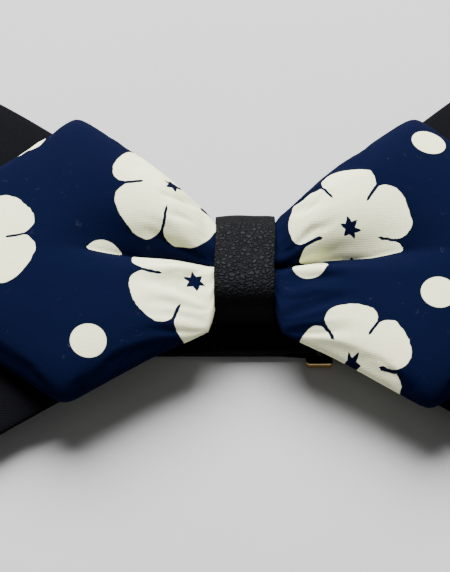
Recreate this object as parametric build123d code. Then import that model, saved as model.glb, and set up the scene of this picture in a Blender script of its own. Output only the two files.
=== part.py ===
from build123d import *
import os

# A pre-tied bow tie lying on its back: two flat bows, one on the other, pinched by a leather
# knot band, on a neck strap that is folded behind them. X runs along the bow, Y up it, and Z
# out of its front. Z = 0 is the surface it lies on. Millimetres.

# ---- Driving sizes -------------------------------------------------------------------------
# The upper bow, measured from its own middle
upper_tip_x = 67.0  # point of a wing
upper_corner_x = 28.0  # where a wing is tallest
upper_corner_y = 28.2
upper_back = 1.1  # thickness of each layer, from the back of the bow to its front
upper_lining = 0.4
upper_front = 2.4
# The under bow, which is larger and sits a little askew
under_tip_x = 73.0
under_corner_x = 44.0
under_corner_y = 35.5
under_back = 1.3
under_lining = 0.4
under_front = 1.8
under_turn = 2.3  # degrees, anticlockwise seen from the front
# Both bows
waist_half = 7.2  # half the height of a gathered waist
corner_round = 4.0
tip_round = 2.5
edge_lean = 1.2  # how far a panel's outer face stands in from its edge
lining_inset = 2.0
pleat_length = 30.0  # the valley along the middle of each wing, from the knot outwards
pleat_half = 2.2
pleat_depth = 1.5
# The knot band, a loop of leather round both waists and the strap
knot_width = 9.7
knot_height = 18.8
knot_thick = 10.95  # from the back of the loop to its front
knot_round = 3.9
leather = 0.75
knot_y = -2.5  # the knot's middle, below the under bow's
knot_clear = 0.2  # between the loop's stitches and the folded strap behind them
seam_gap = 0.6  # between the band's two ends, at the back
seam_stitches = 4
# The thread wound round each waist
thread = 0.25
thread_turns = 4
thread_pitch = 0.6
thread_round = 1.2
# The neck strap, a woven ribbon
ribbon = 0.5
strap_width = 20.0
strap_drop = 2.4  # the folded strap's middle, below the knot's
strap_pinch = 12.0  # its width where the knot squeezes it
fold_x = 79.0
layer_gap = 0.1  # between two layers of ribbon
return_length = 13.0  # the right end, turned back over the ring's bar and sewn down
loop_length = 5.0  # how far behind a bar the ribbon starts to open round it
# The metal clasp and slide
bar_radius = 0.6
bar_fit = 0.05  # radial room of the ribbon round a bar
hook_bar_x = 10.5
ring_bar_x = 39.4
rail = 1.8
rail_fit = 0.4  # between the ribbon's edge and a rail
rail_high = 1.2
rail_round = 0.6  # a rail's corners, seen from the front
edge_round = 0.2  # the metal's other edges
tongue_width = 8.0
tongue_reach = 16.0  # from the hook's bar to the end of its curl
tongue_thick = 0.65
curl_inside = 0.5
lip_length = 4.0
plate_fit = 0.6  # between the hook's loop of ribbon and its cross plate
ring_reach = 11.0  # from the ring's bar to its latch bar's outer edge
latch_width = 2.0
latch_thick = 0.8
slide_x = -60.0  # middle bar of the slide
slide_long = 11.0
slide_bar = 1.8  # width of each of its flat bars
slide_thick = 0.5
wrap_long = 7.0  # the strap's end, wrapped round the slide's middle bar and sewn
wrap_fit = 0.035  # its room above and below that bar
# Stitches and clearances
stitch = 0.15  # thickness of the thread of a row of stitches
stitch_long = 1.3
stitch_pitch = 1.9
edge_margin = 1.5  # from a row of stitches to the ribbon's edges and end
gap = 0.1

# ---- Heights that follow from them, from the surface it lies on forwards --------------------
# A bar's loop of ribbon touches that surface, and the two layers of a run lie at its middle.
loop_inner = bar_radius + bar_fit
loop_outer = loop_inner + ribbon
bar_z = loop_outer
run_z = bar_z - layer_gap / 2 - ribbon
second_z = bar_z + layer_gap / 2
knot_z = second_z + ribbon + knot_clear + stitch
strap_z = knot_z + leather + gap / 2
under_z = strap_z + ribbon + thread + gap
under_high = under_back + under_lining + under_front
upper_z = under_z + under_high + 2 * thread + 1.5 * gap
upper_high = upper_back + upper_lining + upper_front
upper_y = knot_y + 0.8
strap_y = knot_y - strap_drop
fold_z = (strap_z + run_z + ribbon) / 2
half_strap = strap_width / 2
rail_in = half_strap + rail_fit

os.makedirs("parts", exist_ok=True)


def block(x0, x1, y0, y1, z0, z1):
    """A box between two corners."""
    middle = ((x0 + x1) / 2, (y0 + y1) / 2, (z0 + z1) / 2)
    return Pos(*middle) * Box(x1 - x0, y1 - y0, z1 - z0)


def upright(x0, x1, z0, z1):
    """A rectangle of a profile in X and Z, between two corners."""
    return Pos((x0 + x1) / 2, (z0 + z1) / 2) * Rectangle(x1 - x0, z1 - z0)


def across_strap(sketch, width, y=strap_y):
    """A profile drawn in X and Z, made into a solid of this width across the strap."""
    profile = Plane(origin=(0, y, 0), x_dir=(1, 0, 0), z_dir=(0, -1, 0)) * sketch
    return extrude(profile, width / 2, both=True)


# ---- Bows ----------------------------------------------------------------------------------
def bow_outline(tip_x, corner_x, corner_y, y, turn, inset=0.0):
    """The flat shape of a bow: two pointed wings about y, turned, and a waist at the knot."""
    half_band = knot_width / 2
    corner = Vector(corner_x - inset / 2, corner_y - inset)
    tip = Vector(tip_x - 1.5 * inset, 0)
    waist = Vector(half_band, waist_half - inset / 2)

    def placed(point, side, up):
        return Vector(side * point.X, up * point.Y).rotate(Axis.Z, turn) + Vector(0, y)

    def at_knot(side, up):
        return Vector(side * waist.X, up * waist.Y + knot_y)

    corners = [placed(corner, side, up) for side, up in ((1, 1), (1, -1), (-1, -1), (-1, 1))]
    tips = [placed(tip, side, 1) for side in (1, -1)]
    points = [at_knot(1, 1), corners[0], tips[0], corners[1], at_knot(1, -1)]
    points += [at_knot(-1, -1), corners[2], tips[1], corners[3], at_knot(-1, 1)]
    shape = make_face(Polyline(*points, close=True))

    def near(spots):
        reach = gap / 10
        return [v for v in shape.vertices() if any((Vector(v) - spot).length < reach for spot in spots)]

    shape = fillet(near(corners), corner_round)
    return fillet(near(tips), tip_round)


def pleats(top):
    """The valley down the middle of each wing, deepest at the knot."""
    half_band = knot_width / 2
    end = (half_band + pleat_length, 0)
    valley = make_face(Polyline((half_band, pleat_half), end, (half_band, -pleat_half), close=True))
    cut = extrude(Pos(0, upper_y, top - pleat_depth) * valley, pleat_depth + 1)
    return cut + mirror(cut, Plane.YZ)


def panel(shape, z_edge, z_face):
    """One fabric panel: its full outline at the edge's height, leaning in to its outer face."""
    edge = Pos(0, 0, z_edge) * bow_outline(*shape)
    face = Pos(0, 0, z_face) * bow_outline(*shape, inset=edge_lean)
    return loft(sorted([edge, face], key=lambda one: one.center().Z), ruled=True)


def bow(name, shape, z, back, lining, front):
    """Writes a bow's back panel and interlining, and returns its front panel."""
    export_step(panel(shape, z + back, z), f"parts/{name}_back.step")
    inner = bow_outline(*shape, inset=lining_inset)
    export_step(extrude(Pos(0, 0, z + back) * inner, lining), f"parts/{name}_interlining.step")
    return panel(shape, z + back + lining, z + back + lining + front)


upper_shape = (upper_tip_x, upper_corner_x, upper_corner_y, upper_y, 0.0)
under_shape = (under_tip_x, under_corner_x, under_corner_y, 0.0, under_turn)
under_bow_front = bow("under_bow", under_shape, under_z, under_back, under_lining, under_front)
upper_bow_front = bow("upper_bow", upper_shape, upper_z, upper_back, upper_lining, upper_front)
upper_bow_front -= pleats(upper_z + upper_high)
export_step(under_bow_front, "parts/under_bow_front.step")
export_step(upper_bow_front, "parts/upper_bow_front.step")


# ---- Thread wound round each waist -----------------------------------------------------------
def waist_thread(z, high):
    """Turns of thread round a waist that starts at height z."""
    room = gap / 2
    wide = 2 * (waist_half + room + thread)
    tall = high + 2 * (room + thread)
    ring = RectangleRounded(wide, tall, thread_round)
    ring -= RectangleRounded(wide - 2 * thread, tall - 2 * thread, thread_round - thread)
    turns = []
    for k in range(thread_turns):
        x = (k - (thread_turns - 1) / 2) * thread_pitch
        place = Plane(origin=(x, knot_y, z + high / 2), x_dir=(0, 1, 0), z_dir=(1, 0, 0))
        turns.append(extrude(place * ring, thread / 2, both=True))
    return Compound(children=turns)


export_step(waist_thread(under_z, under_high), "parts/under_bow_thread.step")
export_step(waist_thread(upper_z, upper_high), "parts/upper_bow_thread.step")

# ---- Knot band -------------------------------------------------------------------------------
knot_place = Plane(origin=(0, knot_y, knot_z + knot_thick / 2), x_dir=(0, 1, 0), z_dir=(1, 0, 0))
band = RectangleRounded(knot_height, knot_thick, knot_round)
band -= RectangleRounded(knot_height - 2 * leather, knot_thick - 2 * leather, knot_round - leather)
knot_band = extrude(knot_place * band, knot_width / 2, both=True)
half_gap = seam_gap / 2
seam_top = knot_z + leather + gap / 4
seam = block(-knot_width, knot_width, knot_y - half_gap, knot_y + half_gap, 0, seam_top)
export_step(knot_band - seam, "parts/knot_band.step")

seam_thread = []
for k in range(seam_stitches):
    x = (k + 0.5) * knot_width / seam_stitches - knot_width / 2
    y0 = knot_y - stitch_long
    y1 = knot_y + stitch_long
    seam_thread.append(block(x - stitch, x + stitch, y0, y1, knot_z - stitch, knot_z))
export_step(Compound(children=seam_thread), "parts/knot_band_stitches.step")


# ---- Neck strap --------------------------------------------------------------------------------
def strap_edge(side, up):
    """Half an edge of the run behind the bows: pinched at the knot, and full width from there."""
    half_band = knot_width / 2
    spread = half_band + strap_pinch
    lean = (strap_y - knot_y) / fold_x
    pinched = (side * half_band, knot_y + up * strap_pinch / 2)
    full = (side * spread, knot_y + lean * spread + up * half_strap)
    end = (side * fold_x, strap_y + up * half_strap)
    return [pinched, full, end]


strap_plan = strap_edge(1, 1) + strap_edge(1, -1)[::-1] + strap_edge(-1, -1) + strap_edge(-1, 1)[::-1]
strap_inner = extrude(Pos(0, 0, strap_z) * make_face(Polyline(*strap_plan, close=True)), ribbon)
export_step(strap_inner, "parts/strap_behind_bow.step")


def fold(side):
    """The half turn of ribbon at one end, where the strap is folded back under the bows."""
    outer = strap_z + ribbon - fold_z
    ring = Circle(outer) - Circle(outer - ribbon)
    ring &= Pos(side * outer, 0) * Rectangle(2 * outer, 4 * outer)
    return across_strap(Pos(side * fold_x, fold_z) * ring, strap_width)


export_step(fold(-1), "parts/strap_left_fold.step")
export_step(fold(1), "parts/strap_right_fold.step")


def ribbon_loop(bar_x, side):
    """The profile of ribbon round a bar: it opens from two flat layers, to this side of the bar."""
    start = bar_x - side * loop_length

    def around(radius, low, high):
        bend = Pos(bar_x, bar_z) * Circle(radius)
        return make_hull(bend.edges() + Line((start, low), (start, high)).edges())

    return around(loop_outer, run_z, second_z + ribbon) - around(loop_inner, run_z + ribbon, second_z)


left_start = hook_bar_x - loop_length
left_run = ribbon_loop(hook_bar_x, 1)
left_run += upright(-fold_x, left_start, run_z, run_z + ribbon)
export_step(across_strap(left_run, strap_width), "parts/strap_left_run.step")

right_start = ring_bar_x + loop_length
right_run = ribbon_loop(ring_bar_x, -1)
right_run += upright(right_start, fold_x, run_z, run_z + ribbon)
right_run += upright(right_start, right_start + return_length, second_z, second_z + ribbon)
export_step(across_strap(right_run, strap_width), "parts/strap_right_run.step")

# The tail is the second layer of the left run, from the hook's loop back to the slide.
wrap_end = slide_x + wrap_long
tail = block(wrap_end, left_start, strap_y - half_strap, strap_y + half_strap, second_z, second_z + ribbon)
export_step(tail, "parts/strap_tail.step")

# The wrap is the tail's end, taken round the slide's middle bar and sewn down on itself.
wrap_room = slide_thick + 2 * wrap_fit
wrap_top = second_z + 2 * ribbon + wrap_room
wrap_start = slide_x - slide_bar / 2 - layer_gap - ribbon
sewn_start = slide_x + slide_bar / 2 + layer_gap + ribbon
wrap = upright(wrap_start, wrap_end, second_z, wrap_top)
wrap -= upright(wrap_start + ribbon, sewn_start - ribbon, second_z + ribbon, second_z + ribbon + wrap_room)
wrap -= upright(sewn_start, wrap_end, second_z + 2 * ribbon, wrap_top)
export_step(across_strap(wrap, strap_width), "parts/slide_wrap.step")


# ---- Stitches ------------------------------------------------------------------------------------
def stitch_row(x, z):
    """A row of stitches across the strap, on the face of a ribbon at height z."""
    count = int((strap_width - 2 * edge_margin) / stitch_pitch)
    row = []
    for k in range(count):
        y = strap_y + (k - (count - 1) / 2) * stitch_pitch
        row.append(block(x - stitch, x + stitch, y - stitch_long / 2, y + stitch_long / 2, z, z + stitch))
    return row


slide_rows = stitch_row(wrap_end - edge_margin, second_z + 2 * ribbon)
export_step(Compound(children=slide_rows), "parts/slide_wrap_stitches.step")
right_end = right_start + return_length
right_rows = stitch_row(right_end - edge_margin, second_z + ribbon)
right_rows += stitch_row(right_start + edge_margin, second_z + ribbon)
export_step(Compound(children=right_rows), "parts/strap_right_stitches.step")


# ---- Slide, hook and ring --------------------------------------------------------------------------
def rails(x0, x1, z0, z1):
    """The two side rails of a strap fitting."""
    pair = []
    for side in (-1, 1):
        middle = strap_y + side * (rail_in + rail / 2)
        one = block(x0, x1, middle - rail / 2, middle + rail / 2, z0, z1)
        one = fillet(one.edges().filter_by(Axis.Z), rail_round)
        pair.append(fillet(one.faces().filter_by(Axis.Z).edges(), edge_round))
    return pair


def cross_bar(x0, x1, z0, z1):
    """A flat bar from rail to rail."""
    reach = rail_in + rail / 2
    bar = block(x0, x1, strap_y - reach, strap_y + reach, z0, z1)
    return fillet(bar.edges().filter_by(Axis.Y), min(edge_round, (z1 - z0) / 3))


def round_bar(x):
    """The round bar that the ribbon turns about."""
    return across_strap(Pos(x, bar_z) * Circle(bar_radius), 2 * rail_in + rail)


# The slide's outer bars pass under the long run and its middle bar over it, which grips the ribbon.
middle_z = second_z + ribbon + wrap_fit
slide_parts = rails(slide_x - slide_long / 2, slide_x + slide_long / 2, 0, middle_z + slide_thick)
half_bar = slide_bar / 2
slide_parts.append(cross_bar(slide_x - half_bar, slide_x + half_bar, middle_z, middle_z + slide_thick))
for side in (-1, 1):
    bar_x = slide_x + side * (slide_long / 2 - half_bar)
    slide_parts.append(cross_bar(bar_x - half_bar, bar_x + half_bar, 0, slide_thick))
slide = slide_parts[0].fuse(*slide_parts[1:])
export_step(slide, "parts/strap_slide.step")

# The hook: a bar and two rails for the strap, a cross plate, and a tongue that curls over.
plate_x = hook_bar_x + loop_outer + plate_fit
plate_end = plate_x + latch_width
curl_x = hook_bar_x + tongue_reach - curl_inside - tongue_thick
curl_z = tongue_thick + curl_inside
curl = Circle(curl_inside + tongue_thick) - Circle(curl_inside)
curl &= Pos(curl_inside + tongue_thick, 0) * Rectangle(2 * (curl_inside + tongue_thick), 4 * curl_z)
tongue = Pos(curl_x, curl_z) * curl
tongue += upright(plate_x, curl_x, 0, tongue_thick)
lip_z = tongue_thick + 2 * curl_inside
tongue += upright(curl_x - lip_length, curl_x, lip_z, lip_z + tongue_thick)
rail_z = bar_z - rail_high / 2
hook_parts = rails(hook_bar_x - rail_high / 2, plate_end, rail_z, rail_z + rail_high)
hook_parts.append(round_bar(hook_bar_x))
hook_parts.append(cross_bar(plate_x, plate_end, tongue_thick / 2, rail_z + rail_high))
hook_parts.append(across_strap(tongue, tongue_width))
hook = hook_parts[0].fuse(*hook_parts[1:])
export_step(hook, "parts/hook.step")

# The ring: the same bar and rails, closed by a thin latch bar that the hook's curl drops over.
latch_x = ring_bar_x - ring_reach
ring_parts = rails(latch_x, ring_bar_x + rail_high / 2, rail_z, rail_z + rail_high)
latch_z = bar_z - latch_thick / 2
ring_parts.append(round_bar(ring_bar_x))
ring_parts.append(cross_bar(latch_x, latch_x + latch_width, latch_z, latch_z + latch_thick))
ring = ring_parts[0].fuse(*ring_parts[1:])
export_step(ring, "parts/ring.step")
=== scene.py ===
import math

import bpy
import numpy as np
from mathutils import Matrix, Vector


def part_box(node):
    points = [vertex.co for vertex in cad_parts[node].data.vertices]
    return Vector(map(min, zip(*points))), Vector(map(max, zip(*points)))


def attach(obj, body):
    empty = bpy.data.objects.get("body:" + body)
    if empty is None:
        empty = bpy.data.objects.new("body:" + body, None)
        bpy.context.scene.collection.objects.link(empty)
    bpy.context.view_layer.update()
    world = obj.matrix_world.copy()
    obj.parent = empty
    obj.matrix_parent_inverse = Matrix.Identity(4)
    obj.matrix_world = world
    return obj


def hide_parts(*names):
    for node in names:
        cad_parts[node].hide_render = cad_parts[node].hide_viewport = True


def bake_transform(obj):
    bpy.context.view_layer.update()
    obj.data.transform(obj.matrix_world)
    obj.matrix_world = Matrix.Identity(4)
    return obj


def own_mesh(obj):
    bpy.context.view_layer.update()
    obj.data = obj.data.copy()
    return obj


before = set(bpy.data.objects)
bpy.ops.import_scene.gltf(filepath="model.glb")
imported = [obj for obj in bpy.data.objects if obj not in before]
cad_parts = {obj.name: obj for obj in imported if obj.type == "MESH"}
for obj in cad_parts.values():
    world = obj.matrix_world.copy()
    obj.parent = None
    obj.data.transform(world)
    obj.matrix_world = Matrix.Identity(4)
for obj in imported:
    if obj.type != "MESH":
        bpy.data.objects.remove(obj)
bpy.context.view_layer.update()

mm = 0.001

# ---- Camera ------------------------------------------------------------------------------------
# The tie lies on its back. It is seen from its lower edge, looking down steeply, and close
# enough that both ends of the tie run out of the picture.
knot_low, knot_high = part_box("knot_band")
knot = (knot_low + knot_high) / 2
look_at = Vector((knot.x - 3.2 * mm, knot.y + 2.1 * mm, 0))
camera_elevation = math.radians(55)
camera_distance = 355 * mm

camera_data = bpy.data.cameras.new("camera")
camera_data.lens = 134.1
camera_data.sensor_width = 36
camera_data.clip_start = 0.01
camera = bpy.data.objects.new("camera", camera_data)
bpy.context.scene.collection.objects.link(camera)
towards_camera = Vector((0, -math.cos(camera_elevation), math.sin(camera_elevation)))
camera.location = look_at + camera_distance * towards_camera
camera.rotation_euler = (math.pi / 2 - camera_elevation, 0, 0)
bpy.context.scene.camera = camera

# ---- Upper bow: cloth --------------------------------------------------------------------------
# Two panels of printed cotton, sewn round their edges and turned. Gathered with thread at the
# waist, each wing breaks into an upper roll that hangs over a lower one, and further out the
# pleat opens into one soft, flat pillow.
upper_low, upper_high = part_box("upper_bow_front")
lining_low, lining_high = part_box("upper_bow_interlining")
band = (knot_high.x - knot_low.x) / 2
waist = 7.1 * mm
gather_depth = 0.17 * mm
overhang_depth = 1.5 * mm
tuck = 3.5 * mm

# Each quarter of a bow, left or right and lower or upper: where its flare leaves the knot, and
# its corner, both measured from the bow's middle
upper = {
    "middle": (upper_low.y + upper_high.y) / 2,
    "tip": upper_high.x,
    "seam": (lining_low.z + lining_high.z) / 2,
    "round": 1.1 * mm,
    "quarters": {
        (-1, -1): (12.6 * mm, 28.2 * mm, 28.0 * mm),
        (-1, 1): (8.6 * mm, 28.0 * mm, 29.5 * mm),
        (1, -1): (12.9 * mm, 28.6 * mm, 29.0 * mm),
        (1, 1): (8.4 * mm, 28.6 * mm, 29.4 * mm),
    },
}


def nothing_selected():
    """Leaves no object selected, before an operator that acts on what is."""
    if bpy.context.mode != "OBJECT":
        bpy.ops.object.mode_set(mode="OBJECT")
    bpy.ops.object.select_all(action="DESELECT")


def pick(*objects):
    """Selects these objects alone, the first one active."""
    nothing_selected()
    for one in objects:
        one.select_set(True)
    bpy.context.view_layer.objects.active = objects[0]


def ease(low, high, x):
    """0 below low, 1 above high, and a smooth rise between them."""
    t = np.clip((x - low) / (high - low), 0, 1)
    return t * t * (3 - 2 * t)


def half_height(x, v, bow):
    """How far a bow reaches up or down from its middle at x: the flare, then the pointed end."""
    out = np.abs(x)
    reach = np.zeros_like(out)
    for (side, up), (start, corner_x, corner_y) in bow["quarters"].items():
        flare = start + (corner_y - start) * (out - band) / (corner_x - band)
        point = corner_y * (bow["tip"] - out) / (bow["tip"] - corner_x)
        soft = bow["round"]
        least = np.minimum(flare, point)
        wing = least - soft * np.log(np.exp((least - flare) / soft) + np.exp((least - point) / soft))
        opening = ease(band - 0.8 * mm, band + 1.0 * mm, out)
        here = (np.where(x < 0, -1, 1) == side) & (np.where(v < 0, -1, 1) == up)
        reach = np.where(here, waist + (wing - waist) * opening, reach)
    return reach


def height_in_plan(x, v, bow):
    """The Y of a point of a bow's cloth, where v runs from the lower edge, -1, to the upper, 1."""
    free = ease(band, 16 * mm, np.abs(x))
    return v * half_height(x, v, bow) + knot.y + (bow["middle"] - knot.y) * free


def gathers(x, v, phase):
    """Small folds that run out of the knot and die away along the wing."""
    out = np.abs(x)
    left = np.where(x < 0, 1.7, 0.0) + phase
    waves = np.sin(8.3 * v + 1.1 + left) + 0.7 * np.sin(14.7 * v + 0.4 - 2 * left)
    waves = waves + 0.5 * np.sin(23 * v + left)
    fade = np.exp(-np.clip(out - band, 0, None) / (9 * mm)) * ease(0, 4 * mm, out)
    return gather_depth * waves * fade * (1 - v**4)


def pleat(x, v):
    """Where the pleat's valley runs, and how far a point is above or below it, from 0 to 1."""
    valley = np.where(x < 0, -0.9, -1.1) * mm / half_height(x, v, upper)
    above = np.clip((v - valley) / (1 - valley), 0, 1)
    below = np.clip((valley - v) / (valley + 1), 0, 1)
    fold_end = np.where(x < 0, 35 * mm, 40 * mm)
    strength = 1 - ease(14 * mm, fold_end, np.abs(x))
    return valley, above, below, strength


def upper_front_rise(x, v):
    """How far the front panel stands in front of the seam."""
    out = np.abs(x)
    full = 2.8 * mm + 3.9 * mm * ease(band, 12 * mm, out) - 5.1 * mm * ease(22 * mm, 64 * mm, out)
    pillow = np.clip(1 - np.abs(v) ** 3, 0, 1) ** 0.55
    valley, above, below, strength = pleat(x, v)
    climb = np.sin(np.pi / 2 * np.clip(above / 0.5, 0, 1)) ** 0.9
    upper_roll = climb * (1 - np.clip((above - 0.5) / 0.5, 0, 1) ** 2.6) ** 0.55
    climb = np.sin(np.pi / 2 * np.clip(below / 0.2, 0, 1)) ** 0.7
    lower_roll = 0.5 * climb * (1 - np.clip((below - 0.2) / 0.8, 0, 1) ** 2.4) ** 0.55
    rolls = full * (0.86 * np.where(v > valley, upper_roll, lower_roll) + 0.14 * pillow)
    dome = 0.8 * full * pillow * (1 + 0.12 * v)
    end = np.clip(1 - (out / (upper["tip"] - 1 * mm)) ** 40, 0, 1) ** 0.5
    return (rolls * strength + dome * (1 - strength) + gathers(x, v, 0.0) * pillow) * end


def upper_back_rise(x, v):
    """How far the back panel stands behind the seam: it lies nearly flat on the under bow."""
    pillow = np.clip(1 - np.abs(v) ** 3, 0, 1) ** 0.6
    end = np.clip(1 - (np.abs(x) / (upper["tip"] - 1 * mm)) ** 40, 0, 1) ** 0.5
    return (-0.95 * mm * pillow + 0.5 * gathers(x, v, 2.0) * pillow) * end


def upper_overhang(x, v):
    """How far down the upper roll hangs over the lower one at the pleat."""
    valley, above, below, strength = pleat(x, v)
    hang = np.sin(np.pi * np.clip(above / 0.6, 0, 1) ** 0.6) ** 1.3
    return -overhang_depth * hang * strength * ease(0, band, np.abs(x))


def seam_height(x, y, bow):
    """The height of the sewn edge and the interlining. The wings sag a little to their points."""
    out = np.abs(x)
    sag = -0.8 * mm * ease(0.45, 1, out / bow["tip"])
    ripple = 0.12 * mm * np.sin(out / (4.1 * mm) + y / (7 * mm)) * ease(band, 20 * mm, out)
    return bow["seam"] + sag + ripple


def tucked_cloth(x, v):
    """How far the cloth shifts, above and below the pleat, because some of it is tucked inside."""
    half = half_height(x, v, upper)
    valley = pleat(x, v)[0]
    open_from = np.where(x < 0, 28.5 * mm, 35 * mm)
    still_tucked = 1 - ease(0, 4.5 * mm, np.abs(x) - open_from)
    return tuck * still_tucked * np.tanh((v - valley) * half / (0.5 * mm))


def bow_layer(name, bow, rise, overhang=None, columns=220, rows=96, inset=0.0):
    """One layer of cloth over a whole bow: a flat grid, moved to the bow's outline and raised."""
    nothing_selected()
    bpy.ops.mesh.primitive_grid_add(x_subdivisions=columns, y_subdivisions=rows, size=2)
    layer = bpy.context.object
    layer.name = name
    count = len(layer.data.vertices)
    grid = np.zeros(count * 3)
    layer.data.vertices.foreach_get("co", grid)
    grid = grid.reshape(-1, 3)
    x = grid[:, 0] * (bow["tip"] - 1 * mm - inset)
    v = 0.6 * grid[:, 1] + 0.4 * np.sin(grid[:, 1] * np.pi / 2)
    v = v * np.clip(1 - inset / half_height(x, v, bow), 0.02, 1)
    y = height_in_plan(x, v, bow)
    height = seam_height(x, y, bow) + rise(x, v)
    hang = overhang(x, v) if overhang else 0
    layer.data.vertices.foreach_set("co", np.stack([x, y + hang, height], 1).ravel())
    cloth = layer.data.uv_layers.active.data
    corners = np.zeros(len(layer.data.loops), int)
    layer.data.loops.foreach_get("vertex_index", corners)
    cloth_y = y + (tucked_cloth(x, v) if overhang else 0)
    cloth.foreach_set("uv", np.stack([x[corners], cloth_y[corners]], 1).ravel() / mm)
    layer.data.update()
    return layer


def turned_shell(name, bow, front_rise, back_rise, overhang=None):
    """The front and back panels of a bow, sewn together round their edges into one closed shell."""
    front = bow_layer(name, bow, front_rise, overhang)
    back = bow_layer(name + "_back", bow, back_rise)
    pick(back)
    bpy.ops.object.mode_set(mode="EDIT")
    bpy.ops.mesh.select_all(action="SELECT")
    bpy.ops.mesh.flip_normals()
    bpy.ops.object.mode_set(mode="OBJECT")
    pick(front, back)
    bpy.ops.object.join()
    bpy.ops.object.mode_set(mode="EDIT")
    bpy.ops.mesh.select_all(action="SELECT")
    bpy.ops.mesh.remove_doubles(threshold=0.004 * mm)
    bpy.ops.object.mode_set(mode="OBJECT")
    bpy.ops.object.shade_smooth()
    return front


def settle(shell, fullness, swell, most, steps=12):
    """Lets the sewn cloth fill out and crease by itself. It is held at the waist, a little larger
    than its shape, and pressed from inside. No point moves further than most, and the back stays
    nearly where it lay. The simulation is run on the cloth made 20 times larger."""
    room = 20.0
    count = len(shell.data.vertices)
    before = np.zeros(count * 3)
    shell.data.vertices.foreach_get("co", before)
    shell.data.vertices.foreach_set("co", before * room)
    shell.data.update()
    before = before.reshape(-1, 3)
    held = shell.vertex_groups.new(name="held")
    grip = 1 - ease(band - 0.3 * mm, band + 2.5 * mm, np.abs(before[:, 0]))
    for k in np.nonzero(grip > 0)[0]:
        held.add([int(k)], float(grip[k]), "REPLACE")
    cloth = shell.modifiers.new("cloth", "CLOTH")
    cloth.settings.quality = 6
    cloth.settings.mass = 0.3
    cloth.settings.tension_stiffness = 15
    cloth.settings.compression_stiffness = 15
    cloth.settings.shear_stiffness = 8
    cloth.settings.bending_stiffness = 0.5
    cloth.settings.use_pressure = True
    cloth.settings.uniform_pressure_force = swell
    cloth.settings.shrink_min = -fullness
    cloth.settings.vertex_group_mass = "held"
    cloth.settings.effector_weights.gravity = 0
    cloth.collision_settings.use_collision = False
    cloth.point_cache.frame_end = steps
    for frame_number in range(1, steps + 1):
        bpy.context.scene.frame_set(frame_number)
    pick(shell)
    bpy.ops.object.modifier_apply(modifier=cloth.name)
    bpy.context.scene.frame_set(1)
    shell.vertex_groups.clear()
    after = np.zeros(count * 3)
    shell.data.vertices.foreach_get("co", after)
    move = after.reshape(-1, 3) / room - before
    far = np.linalg.norm(move, axis=1, keepdims=True) + 1e-9
    move = move * most * np.tanh(far / most) / far
    normals = np.zeros(count * 3)
    shell.data.vertex_normals.foreach_get("vector", normals)
    facing_front = ease(0.0, 0.75, normals.reshape(-1, 3)[:, 2:])
    move = move * (0.12 + 0.88 * facing_front)
    shell.data.vertices.foreach_set("co", (before + move).ravel())
    shell.data.update()


upper_shell = turned_shell("upper_bow_cloth", upper, upper_front_rise, upper_back_rise, upper_overhang)
settle(upper_shell, fullness=0.02, swell=3, most=1.0 * mm)

# ---- Upper bow: printed cotton -----------------------------------------------------------------
# Fine navy cotton, printed in ivory with plum blossoms and round dots. Each blossom has five
# petals parted by thin slits, and a small navy star at its heart.


class Wire:
    """A socket of a material's nodes that can be used in sums."""

    def __init__(self, tree, socket):
        self.tree = tree
        self.socket = socket

    def node(self, kind, settings, sockets, output=0):
        made = self.tree.nodes.new(kind)
        for setting, value in settings.items():
            setattr(made, setting, value)
        for name, value in sockets.items():
            if isinstance(value, Wire):
                self.tree.links.new(value.socket, made.inputs[name])
            else:
                made.inputs[name].default_value = value
        return Wire(self.tree, made.outputs[output])

    def math(self, operation, *others):
        return self.node("ShaderNodeMath", {"operation": operation}, dict(enumerate([self, *others])))

    def __add__(self, other):
        return self.math("ADD", other)

    def __sub__(self, other):
        return self.math("SUBTRACT", other)

    def __mul__(self, other):
        return self.math("MULTIPLY", other)

    def __truediv__(self, other):
        return self.math("DIVIDE", other)

    def __pow__(self, other):
        return self.math("POWER", other)

    def __neg__(self):
        return self * -1

    def __abs__(self):
        return self.math("ABSOLUTE")

    def __lt__(self, other):
        return self.math("LESS_THAN", other)

    def __radd__(self, other):
        return self + other

    def __rmul__(self, other):
        return self * other

    def __rsub__(self, other):
        return -self + other

    def most(self, other):
        return self.math("MAXIMUM", other)

    def sine(self):
        return self.math("SINE")

    def cosine(self):
        return self.math("COSINE")

    def rise(self, low, high):
        """0 below low and 1 above high, smoothly."""
        settings = {"interpolation_type": "SMOOTHSTEP"}
        return self.node("ShaderNodeMapRange", settings, {"Value": self, "From Min": low, "From Max": high})

    def colour(self, low, high):
        """A colour between two, by this wire."""
        settings = {"data_type": "RGBA"}
        return self.node("ShaderNodeMix", settings, {"Factor": self, "A": (*low, 1), "B": (*high, 1)}, 2)

    def tint(self, colour, strength):
        """A colour made darker where this wire is low."""
        settings = {"data_type": "RGBA", "blend_type": "MULTIPLY"}
        factor = self * strength + (1 - strength)
        grey = self.node("ShaderNodeCombineColor", {}, {0: factor, 1: factor, 2: factor})
        return self.node("ShaderNodeMix", settings, {"Factor": 1.0, "A": colour, "B": grey}, 2)

    def bump(self, distance, strength=1.0, under=None):
        """A normal that this wire raises, over another normal if there is one."""
        sockets = {"Height": self, "Distance": distance, "Strength": strength}
        if under is not None:
            sockets["Normal"] = under
        return self.node("ShaderNodeBump", {}, sockets)


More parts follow.
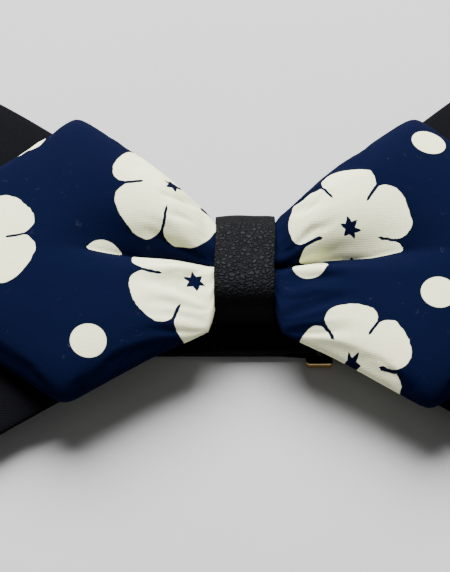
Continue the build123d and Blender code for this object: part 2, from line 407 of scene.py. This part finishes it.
def new_material(name, roughness, **constants):
    """A material, with the wires of its object and cloth coordinates and a way to feed its shader."""
    material = bpy.data.materials.new(name)
    material.use_nodes = True
    tree = material.node_tree
    shader = tree.nodes["Principled BSDF"]
    shader.inputs["Roughness"].default_value = roughness
    for socket, value in constants.items():
        shader.inputs[socket.replace("_", " ")].default_value = value
    start = Wire(tree, None)
    place = start.node("ShaderNodeTexCoord", {}, {}, "Object")
    cloth = start.node("ShaderNodeTexCoord", {}, {}, "UV")

    def feed(socket, wire):
        tree.links.new(wire.socket, shader.inputs[socket])

    return material, place, cloth, feed


def parts_of(vector):
    """The X, Y and Z of a vector wire."""
    return [vector.node("ShaderNodeSeparateXYZ", {}, {0: vector}, part) for part in range(3)]


def noise(place, scale, detail=3.0, roughness=0.55):
    """Soft noise from 0 to 1 at this scale."""
    sockets = {"Vector": place, "Scale": scale, "Detail": detail, "Roughness": roughness}
    return place.node("ShaderNodeTexNoise", {}, sockets)


def plain_weave(across, along, pitch):
    """The raised threads of a plain weave, from 0 to 1, with this pitch."""
    turn = math.pi / pitch
    over = (across * turn).sine() * (along * turn).sine()
    warp = abs((across * turn).cosine())
    weft = abs((along * turn).cosine())
    lifted = over.rise(-0.3, 0.3)
    return warp * lifted + weft * (1 - lifted)


navy = (0.0016, 0.0032, 0.0185)
ivory = (0.91, 0.93, 0.61)
star_radius = 1.7
slit_half = 0.25

# Millimetres across and up from the middle of the knot, then each blossom's turn and reach
blossoms = [
    (-11.5, 15.5, 185, 10.2),
    (-8, -8.5, 175, 10.8),
    (17, 8, 55, 9.8),
    (16.5, -23.5, 125, 9.2),
    (-43.5, 1.5, 5, 10.4),
    (46, 11, 30, 10.2),
    (43, -18, 70, 10.0),
]
dots = [
    (-24.5, -21), (-22.5, 3), (30.5, 24.5), (10.5, -5.5),
    (30.5, -12.5), (-36, 23.5), (-57, -4), (57.5, 0.5),
]
dot_radius = 2.8


def dot(u, w, x, y):
    """1 inside a round dot."""
    dx, dy = u - x, w - y
    return (dot_radius - (dx * dx + dy * dy) ** 0.5).rise(-0.07, 0.07)


def blossom(u, w, x, y, turn, reach):
    """1 inside a blossom of five petals, and 0 at its slits and its six-pointed star."""
    dx, dy = u - x, w - y
    away = (dx * dx + dy * dy) ** 0.5
    angle = dy.math("ARCTAN2", dx) * (180 / math.pi)
    across = abs((angle - turn + 720).math("MODULO", 72) - 36) / 36
    edge = reach - 0.27 * reach * across**5
    filled = (edge - away).rise(-0.07, 0.07)
    beside = ((1 - across) * away * (math.pi / 5) - slit_half).rise(-0.06, 0.06)
    slit = beside.most(away / edge < 0.64)
    points = abs((angle + 735).math("MODULO", 60) - 30) / 30
    star = (away - star_radius * (0.55 + 0.45 * points**1.5)).rise(-0.08, 0.08)
    return filled * slit * star


def plum_print(u, w, wobble):
    """1 where the cotton is printed ivory. The petals' outlines are drawn a little unevenly."""
    printed = dot(u, w, *dots[0])
    for x, y in dots[1:]:
        printed = printed.most(dot(u, w, x, y))
    uneven_u, uneven_w = u + wobble, w + wobble * 0.7
    for x, y, turn, reach in blossoms:
        printed = printed.most(blossom(uneven_u, uneven_w, x, y, turn, reach))
    return printed


thread_pitch = 0.34
cotton, place, cloth, feed = new_material("printed_cotton", 0.9, Specular_IOR_Level=0.03)
u, w, _ = parts_of(cloth)
u, w = u - knot.x / mm, w - knot.y / mm
print_mask = plum_print(u, w, (noise(cloth, 0.4, 2.0) - 0.5) * 0.9)
threads = plain_weave(u, w, thread_pitch)
long_threads = u.node("ShaderNodeCombineXYZ", {}, {0: u * 3.2, 1: w * 0.35, 2: 0.0})
slub = noise(place, 1100, 3.0) * 0.5 + noise(long_threads, 1.0, 3.0) * 0.5
lint = noise(place, 420, 5.0, 0.75).rise(0.62, 0.78)
worn = (threads * 0.45 + slub * 0.55).tint(print_mask.colour(navy, ivory), 0.36)
dusted = u.node("ShaderNodeMix", {"data_type": "RGBA"},
                {"Factor": lint * 0.05, "A": worn, "B": (0.35, 0.40, 0.50, 1)}, 2)
feed("Base Color", dusted)
soft_folds = noise(place, 95, 3.0).bump(0.0006, 0.35)
feed("Normal", (threads * 0.7 + slub * 0.5).bump(0.00010, 0.35, soft_folds))
feed("Roughness", print_mask * -0.10 + 0.95)
upper_shell.data.materials.append(cotton)
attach(upper_shell, "bow")
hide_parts("upper_bow_front", "upper_bow_back")

# ---- Interlinings ------------------------------------------------------------------------------
# A stiff, bonded white cloth lies between the front and back panels of each bow, cut short of
# the seams. It keeps the wings crisp and isn't seen.
canvas_thick = 0.3 * mm
canvas_inset = 3 * mm
canvas, place, _, feed = new_material("interlining", 0.95, Specular_IOR_Level=0.1)
fibres = noise(place, 1400, 5.0, 0.7)
feed("Base Color", fibres.colour((0.62, 0.61, 0.57), (0.78, 0.77, 0.74)))
feed("Normal", fibres.bump(0.00008, 0.6))


def interlining(name, bow, node):
    """The stiff layer inside a bow. It is cut smaller than the panels, and lies along their seam."""
    piece = bow_layer(name, bow, lambda x, v: 0 * x, columns=120, rows=40, inset=canvas_inset)
    solid = piece.modifiers.new("thickness", "SOLIDIFY")
    solid.thickness = canvas_thick
    solid.offset = 0
    pick(piece)
    bpy.ops.object.modifier_apply(modifier=solid.name)
    piece.data.materials.append(canvas)
    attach(piece, "bow")
    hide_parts(node)


interlining("upper_bow_canvas", upper, "upper_bow_interlining")

# ---- Under bow ---------------------------------------------------------------------------------
# A larger bow of plain black cotton, made the same way. It lies flat behind the printed one,
# and its corners reach further, so that black shows past the printed ones.
under_low, under_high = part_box("under_bow_front")
under_lining_low, under_lining_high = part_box("under_bow_interlining")
under = {
    "middle": (under_low.y + under_high.y) / 2,
    "tip": under_high.x,
    "seam": (under_lining_low.z + under_lining_high.z) / 2,
    "round": 1.6 * mm,
    "quarters": {
        (-1, -1): (10.0 * mm, 44 * mm, 36.0 * mm),
        (-1, 1): (8.2 * mm, 46 * mm, 37.4 * mm),
        (1, -1): (10.0 * mm, 44 * mm, 35.8 * mm),
        (1, 1): (7.6 * mm, 39 * mm, 37.8 * mm),
    },
}


def under_front_rise(x, v):
    """How far the black front panel stands in front of the seam."""
    out = np.abs(x)
    full = 1.9 * mm - 0.5 * mm * ease(30 * mm, 70 * mm, out)
    pillow = np.clip(1 - np.abs(v) ** 3.4, 0, 1) ** 0.55
    end = np.clip(1 - (out / (under["tip"] - 1 * mm)) ** 40, 0, 1) ** 0.5
    return (full * pillow + gathers(x, v, 4.0) * pillow) * end


def under_back_rise(x, v):
    """How far the black back panel stands behind the seam."""
    pillow = np.clip(1 - np.abs(v) ** 3.4, 0, 1) ** 0.55
    end = np.clip(1 - (np.abs(x) / (under["tip"] - 1 * mm)) ** 40, 0, 1) ** 0.5
    return (-1.3 * mm * pillow + 0.4 * gathers(x, v, 1.0) * pillow) * end


under_shell = turned_shell("under_bow_cloth", under, under_front_rise, under_back_rise)
black_cotton, place, cloth, feed = new_material("black_cotton", 0.93, Specular_IOR_Level=0.03)
u, w, _ = parts_of(cloth)
threads = plain_weave(u, w, 0.40)
slub = noise(place, 800, 3.0)
feed("Base Color", (threads * 0.6 + slub * 0.4).colour((0.0008, 0.0008, 0.0012), (0.0045, 0.0045, 0.0062)))
soft_folds = noise(place, 70, 3.0).bump(0.0008, 0.4)
feed("Normal", (threads * 0.8 + slub * 0.4).bump(0.00012, 0.6, soft_folds))
feed("Roughness", slub * 0.15 + 0.8)
under_shell.data.materials.append(black_cotton)
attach(under_shell, "bow")
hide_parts("under_bow_front", "under_bow_back")
interlining("under_bow_canvas", under, "under_bow_interlining")

# ---- Waist threads and stitches ----------------------------------------------------------------
# Waxed black thread, of two plies. It is wound round each gathered waist, and the same thread
# sews the knot band's seam and the ends of the neck strap.
ply_pitch = 0.35 * mm
black_thread, place, _, feed = new_material("thread", 0.6, Specular_IOR_Level=0.4)
x_part, y_part, z_part = parts_of(place)
plies = ((x_part + y_part + z_part) * (2 * math.pi / ply_pitch)).sine()
feed("Base Color", plies.rise(-1, 1).colour((0.006, 0.006, 0.007), (0.022, 0.022, 0.024)))
feed("Normal", plies.bump(0.00006, 0.8))
for name in ("upper_bow_thread", "under_bow_thread", "knot_band_stitches", "slide_wrap_stitches",
             "strap_right_stitches"):
    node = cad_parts[name]
    node.data.materials.clear()
    node.data.materials.append(black_thread)

# ---- Knot band ---------------------------------------------------------------------------------
# A strip of black pebbled leather, wrapped round both waists and sewn end to end at the back.
# Its long edges are cut and inked, and it turns over the waist with soft round shoulders.
leather_thick = 0.8 * mm
strip_sections = 24
squareness = 3.1
shoulder_sink = 0.22 * mm
wrinkle_depth = 0.05 * mm


def knot_loop():
    """The leather loop: a tube about X, shaped to the waist it wraps, thickened and its edges rounded."""
    nothing_selected()
    width = knot_high.x - knot_low.x
    bpy.ops.mesh.primitive_cylinder_add(vertices=192, radius=1, depth=width, end_fill_type="NOTHING",
                                        rotation=(0, math.pi / 2, 0))
    loop = bpy.context.object
    loop.name = "knot_band_leather"
    bpy.ops.object.transform_apply(location=True, rotation=True, scale=True)
    bpy.ops.object.mode_set(mode="EDIT")
    for k in range(1, strip_sections):
        bpy.ops.mesh.select_all(action="SELECT")
        cut_x = width * (k / strip_sections - 0.5)
        bpy.ops.mesh.bisect(plane_co=(cut_x, 0, 0), plane_no=(1, 0, 0))
    bpy.ops.object.mode_set(mode="OBJECT")
    points = np.zeros(len(loop.data.vertices) * 3)
    loop.data.vertices.foreach_get("co", points)
    points = points.reshape(-1, 3)
    angle = np.arctan2(points[:, 2], points[:, 1])
    c, s = np.cos(angle), np.sin(angle)
    half_y = (knot_high.y - knot_low.y) / 2 - 0.05 * mm
    half_z = (knot_high.z - knot_low.z) / 2
    reach = np.abs(c / half_y) ** squareness + np.abs(s / half_z) ** squareness
    reach = reach ** (-1 / squareness)
    side = points[:, 0] / (width / 2)
    sunk = shoulder_sink * side**4 * (s > 0)
    wrinkle = wrinkle_depth * np.sin(side * 5 + 3 * c) * (s > 0.2)
    reach = reach - sunk + wrinkle
    x = points[:, 0] + 0.15 * mm * np.sin(2 * angle)
    lie = np.stack([x, knot.y + c * reach, knot.z + s * reach], 1)
    loop.data.vertices.foreach_set("co", lie.ravel())
    loop.data.update()
    around = loop.data.uv_layers.active or loop.data.uv_layers.new(name="leather")
    corners = np.zeros(len(loop.data.loops), int)
    loop.data.loops.foreach_get("vertex_index", corners)
    around.data.foreach_set("uv", np.stack([points[corners, 0], angle[corners] * 9 * mm], 1).ravel() / mm)
    solid = loop.modifiers.new("leather", "SOLIDIFY")
    solid.thickness = leather_thick
    solid.offset = -1
    cut = loop.modifiers.new("inked edges", "BEVEL")
    cut.width = 0.16 * mm
    cut.segments = 3
    cut.limit_method = "ANGLE"
    pick(loop)
    bpy.ops.object.modifier_apply(modifier=solid.name)
    bpy.ops.object.modifier_apply(modifier=cut.name)
    bpy.ops.object.shade_smooth_by_angle(angle=math.radians(40))
    return loop


leather, place, _, feed = new_material("leather", 0.5, Specular_IOR_Level=0.05)
x_part, y_part, z_part = parts_of(place)
stretched = place.node("ShaderNodeCombineXYZ", {}, {0: x_part * 0.85, 1: y_part * 1.1, 2: z_part * 1.1})
unevenness = place.node("ShaderNodeTexNoise", {}, {"Vector": stretched, "Scale": 900.0}, 1)
swirl = place.node("ShaderNodeVectorMath", {"operation": "SCALE"}, {0: unevenness, "Scale": 0.0008})
grain_place = stretched.node("ShaderNodeVectorMath", {"operation": "ADD"}, {0: stretched, 1: swirl})
cells = grain_place.node("ShaderNodeTexVoronoi", {"feature": "DISTANCE_TO_EDGE"},
                         {"Vector": grain_place, "Scale": 1350.0})
creases = noise(grain_place, 900, 3.0, 0.6)
pebbles = cells.rise(0.02, 0.26)
# The grain is pulled flat where the strip turns over the waist, and there the colour also falls to its dark
# end: painted shade on the knot's top and bottom shoulders
up = y_part - knot.y
pebbled_and_unshaded = (1 - up.rise(4.0 * mm, 7.4 * mm)) * up.rise(-8.5 * mm, -5.5 * mm)
grain_and_painted_shade = (pebbles * 0.7 + creases * 0.5) * (0.18 + 0.82 * pebbled_and_unshaded)
# Painted shade: the base colour is darkest on the knot's shoulders, above and below its front face
feed("Base Color", grain_and_painted_shade.colour((0.0004, 0.0004, 0.0006), (0.0052, 0.0054, 0.0074)))
feed("Roughness", 0.66 - grain_and_painted_shade * 0.16)
feed("Normal", grain_and_painted_shade.bump(0.00022, 0.9))
knot_leather = knot_loop()
knot_leather.data.materials.append(leather)
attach(knot_leather, "bow")
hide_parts("knot_band")

# ---- Neck strap --------------------------------------------------------------------------------
# Black grosgrain ribbon, 20 mm wide, with fine cross ribs. It passes through the knot, folds
# back under both wings, and ends in loops sewn round the hook's, the ring's and the slide's bars.
strap_low, strap_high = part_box("strap_behind_bow")
run_low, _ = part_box("strap_left_run")
tail_low, tail_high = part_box("strap_tail")
wrap_low, wrap_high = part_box("slide_wrap")
_, right_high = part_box("strap_right_run")
strap_y = (tail_low.y + tail_high.y) / 2
half_strap = (tail_high.y - tail_low.y) / 2
ribbon_thick = tail_high.z - tail_low.z
behind_z = (strap_low.z + strap_high.z) / 2
second_z = (tail_low.z + tail_high.z) / 2
bar_radius = 0.6 * mm
bar_z = 1.15 * mm
hook_low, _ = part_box("hook")
hook_bar = (hook_low.x + bar_radius, bar_z)
_, ring_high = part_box("ring")
ring_bar = (ring_high.x - bar_radius, bar_z)
bend = 0.9 * mm  # radius of the ribbon's middle as it turns round a bar
loop_open = 5 * mm  # how far behind the ring's bar the loop opens
return_reach = 18 * mm  # how far behind that bar the returned end is sewn


def arc(centre, radius, start, end, steps=24):
    """Points of an arc in X and Z, from one angle to another, in degrees."""
    turns = np.radians(np.linspace(start, end, steps))
    return [(centre[0] + radius * math.cos(a), centre[1] + radius * math.sin(a)) for a in turns]


def ribbon(name, line, body, nodes, pinch=0.0, wave=0.0, step=0.7 * mm):
    """A flat ribbon laid along a line of X and Z points, with its thickness and rounded selvedges."""
    line = np.array(line)
    run = np.concatenate([[0], np.cumsum(np.hypot(*np.diff(line, axis=0).T))])
    stations = max(int(run[-1] / step), 12)
    across = 22
    nothing_selected()
    bpy.ops.mesh.primitive_grid_add(x_subdivisions=stations, y_subdivisions=across, size=2)
    piece = bpy.context.object
    piece.name = name
    grid = np.zeros(len(piece.data.vertices) * 3)
    piece.data.vertices.foreach_get("co", grid)
    grid = grid.reshape(-1, 3)
    along = (grid[:, 0] + 1) / 2 * run[-1]
    x = np.interp(along, run, line[:, 0])
    z = np.interp(along, run, line[:, 1])
    squeezed = 1 - ease(band, band + 12 * mm, np.abs(x)) if pinch else 0 * x
    half = half_strap * (1 - squeezed) + pinch * squeezed
    y = strap_y + (knot.y - strap_y) * squeezed + grid[:, 1] * half
    crumple = np.sin(grid[:, 1] * 9.5 + 0.6) + 0.6 * np.sin(grid[:, 1] * 17 + np.sign(x))
    z = z + wave * squeezed * crumple
    piece.data.vertices.foreach_set("co", np.stack([x, y, z], 1).ravel())
    cloth = piece.data.uv_layers.active.data
    corners = np.zeros(len(piece.data.loops), int)
    piece.data.loops.foreach_get("vertex_index", corners)
    cloth.foreach_set("uv", np.stack([along[corners], grid[corners, 1] * half_strap], 1).ravel() / mm)
    solid = piece.modifiers.new("thickness", "SOLIDIFY")
    solid.thickness = ribbon_thick - 0.03 * mm
    solid.offset = 0
    selvedge = piece.modifiers.new("selvedge", "BEVEL")
    selvedge.width = 0.14 * mm
    selvedge.segments = 2
    selvedge.limit_method = "ANGLE"
    selvedge.angle_limit = math.radians(60)
    pick(piece)
    bpy.ops.object.modifier_apply(modifier=solid.name)
    bpy.ops.object.modifier_apply(modifier=selvedge.name)
    bpy.ops.object.shade_smooth_by_angle(angle=math.radians(50))
    piece.data.materials.append(grosgrain)
    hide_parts(*nodes)
    if body:
        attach(piece, body)
    return piece


grosgrain, place, cloth, feed = new_material("ribbon", 0.72, Specular_IOR_Level=0.08)
along, across, _ = parts_of(cloth)
ribs = abs((along * (math.pi / 0.62)).sine()) ** 0.7
weft = (across * (2 * math.pi / 0.3) + along * 5).sine()
lint = noise(place, 700, 3.0)
woven_edge = abs(across).rise(9.1, 9.5)
feed("Base Color", (ribs * 0.6 + lint * 0.4).colour((0.001, 0.001, 0.0014), (0.0075, 0.0075, 0.009)))
feed("Roughness", 0.8 - ribs * 0.18)
feed("Normal", (ribs * (1 - woven_edge * 0.6) + weft * 0.12 + lint * 0.15).bump(0.00014, 0.9))

fold_x = strap_high.x
fold_z = (behind_z + run_low.z + 0.85 * mm) / 2
fold_radius = behind_z - fold_z
ribbon("strap_behind_ribbon", [(-fold_x, behind_z), (fold_x, behind_z)], "bow", ["strap_behind_bow"],
       pinch=5.4 * mm, wave=0.07 * mm)
left_fold = ribbon("strap_left_fold_ribbon", arc((-fold_x, fold_z), fold_radius, 90, 270, 40), None,
                   ["strap_left_fold"], step=0.12 * mm)
right_fold = ribbon("strap_right_fold_ribbon", arc((fold_x, fold_z), fold_radius, 90, -90, 40), None,
                    ["strap_right_fold"], step=0.12 * mm)
low_z = fold_z - fold_radius
for fold, body, x in ((left_fold, "left_strap", -fold_x), (right_fold, "right_strap", fold_x)):
    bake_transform(fold)

left_line = [(-fold_x, low_z), (tail_high.x, low_z)]
left_line += arc(hook_bar, bend, -97, 97) + [(tail_high.x, second_z)]
ribbon("strap_left_ribbon", left_line, "left_strap", ["strap_left_run"], step=0.5 * mm)
tail_line = [(wrap_high.x + 0.06 * mm, second_z), (tail_high.x, second_z)]
tail = ribbon("strap_tail_ribbon", tail_line, "left_strap", ["strap_tail"])
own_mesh(tail)
top_z = wrap_high.z - ribbon_thick / 2
sewn_z = second_z + ribbon_thick
wrap_round = (top_z - second_z) / 2
wrap_centre = (wrap_low.x + ribbon_thick / 2 + wrap_round, second_z + wrap_round)
bar_end = wrap_low.x + 2.6 * mm  # just past the slide's middle bar, where the layers close up
step_down = [(bar_end, top_z), (bar_end + 0.35 * mm, top_z - 0.12 * mm),
             (bar_end + 0.6 * mm, sewn_z + 0.14 * mm), (bar_end + 1 * mm, sewn_z)]
wrap_line = [(wrap_high.x, second_z)] + arc(wrap_centre, wrap_round, 270, 90, 20)
wrap_line += step_down + [(wrap_high.x, sewn_z)]
ribbon("slide_wrap_ribbon", wrap_line, "slide", ["slide_wrap"], step=0.2 * mm)
right_line = [(ring_bar[0] + return_reach, second_z), (ring_bar[0] + loop_open, second_z)]
right_line += arc(ring_bar, bend, 83, 277)
right_line += [(ring_bar[0] + loop_open, low_z), (right_high.x, low_z)]
ribbon("strap_right_ribbon", right_line, "right_strap", ["strap_right_run"], step=0.5 * mm)

# ---- Slide, hook and ring ----------------------------------------------------------------------
# Pressed and plated fittings in pale polished gold. The slide sets the strap's length, and the
# hook drops over the ring's bar to close it at the back of the neck.
gold, place, _, feed = new_material("gold_metal", 0.22, Metallic=1.0)
brushed = noise(place, 1300, 2.0)
scuffs = noise(place, 260, 4.0, 0.7).rise(0.5, 0.72)
feed("Base Color", (brushed * 0.5 + scuffs * 0.5).colour((0.83, 0.60, 0.24), (0.70, 0.47, 0.16)))
feed("Roughness", brushed * 0.08 + scuffs * 0.14 + 0.16)
feed("Normal", (brushed * 0.4 + scuffs * 0.6).bump(0.00003, 0.35))
for name in ("strap_slide", "hook", "ring"):
    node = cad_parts[name]
    node.data.materials.clear()
    node.data.materials.append(gold)

# ---- Floor, light and finish -------------------------------------------------------------------
# A plain pale floor, one large soft light above and beyond the tie, and a faint one in front.
# None of them is part of the tie.
nothing_selected()
bpy.ops.mesh.primitive_plane_add(size=3, location=(0, 0, -0.0001))
floor = bpy.context.object
floor.name = "floor"
floor_paint, place, _, feed = new_material("floor_paint", 0.9)
feed("Base Color", noise(place, 20).colour((0.40, 0.40, 0.405), (0.43, 0.43, 0.435)))
floor.data.materials.append(floor_paint)


def soft_light(name, location, size, power):
    """A square area light that faces the knot."""
    data = bpy.data.lights.new(name, "AREA")
    data.shape = "SQUARE"
    data.size = size
    data.energy = power
    light = bpy.data.objects.new(name, data)
    light.location = location
    light.rotation_euler = (knot - Vector(location)).to_track_quat("-Z", "Y").to_euler()
    bpy.context.scene.collection.objects.link(light)


soft_light("key", (-0.06, 0.47, 0.57), 0.60, 29)
soft_light("fill", (0.20, -0.60, 0.60), 0.5, 0.4)
world = bpy.data.worlds.new("world")
world.use_nodes = True
world.node_tree.nodes["Background"].inputs[0].default_value = (1, 1, 1, 1)
world.node_tree.nodes["Background"].inputs[1].default_value = 0.15
bpy.context.scene.world = world
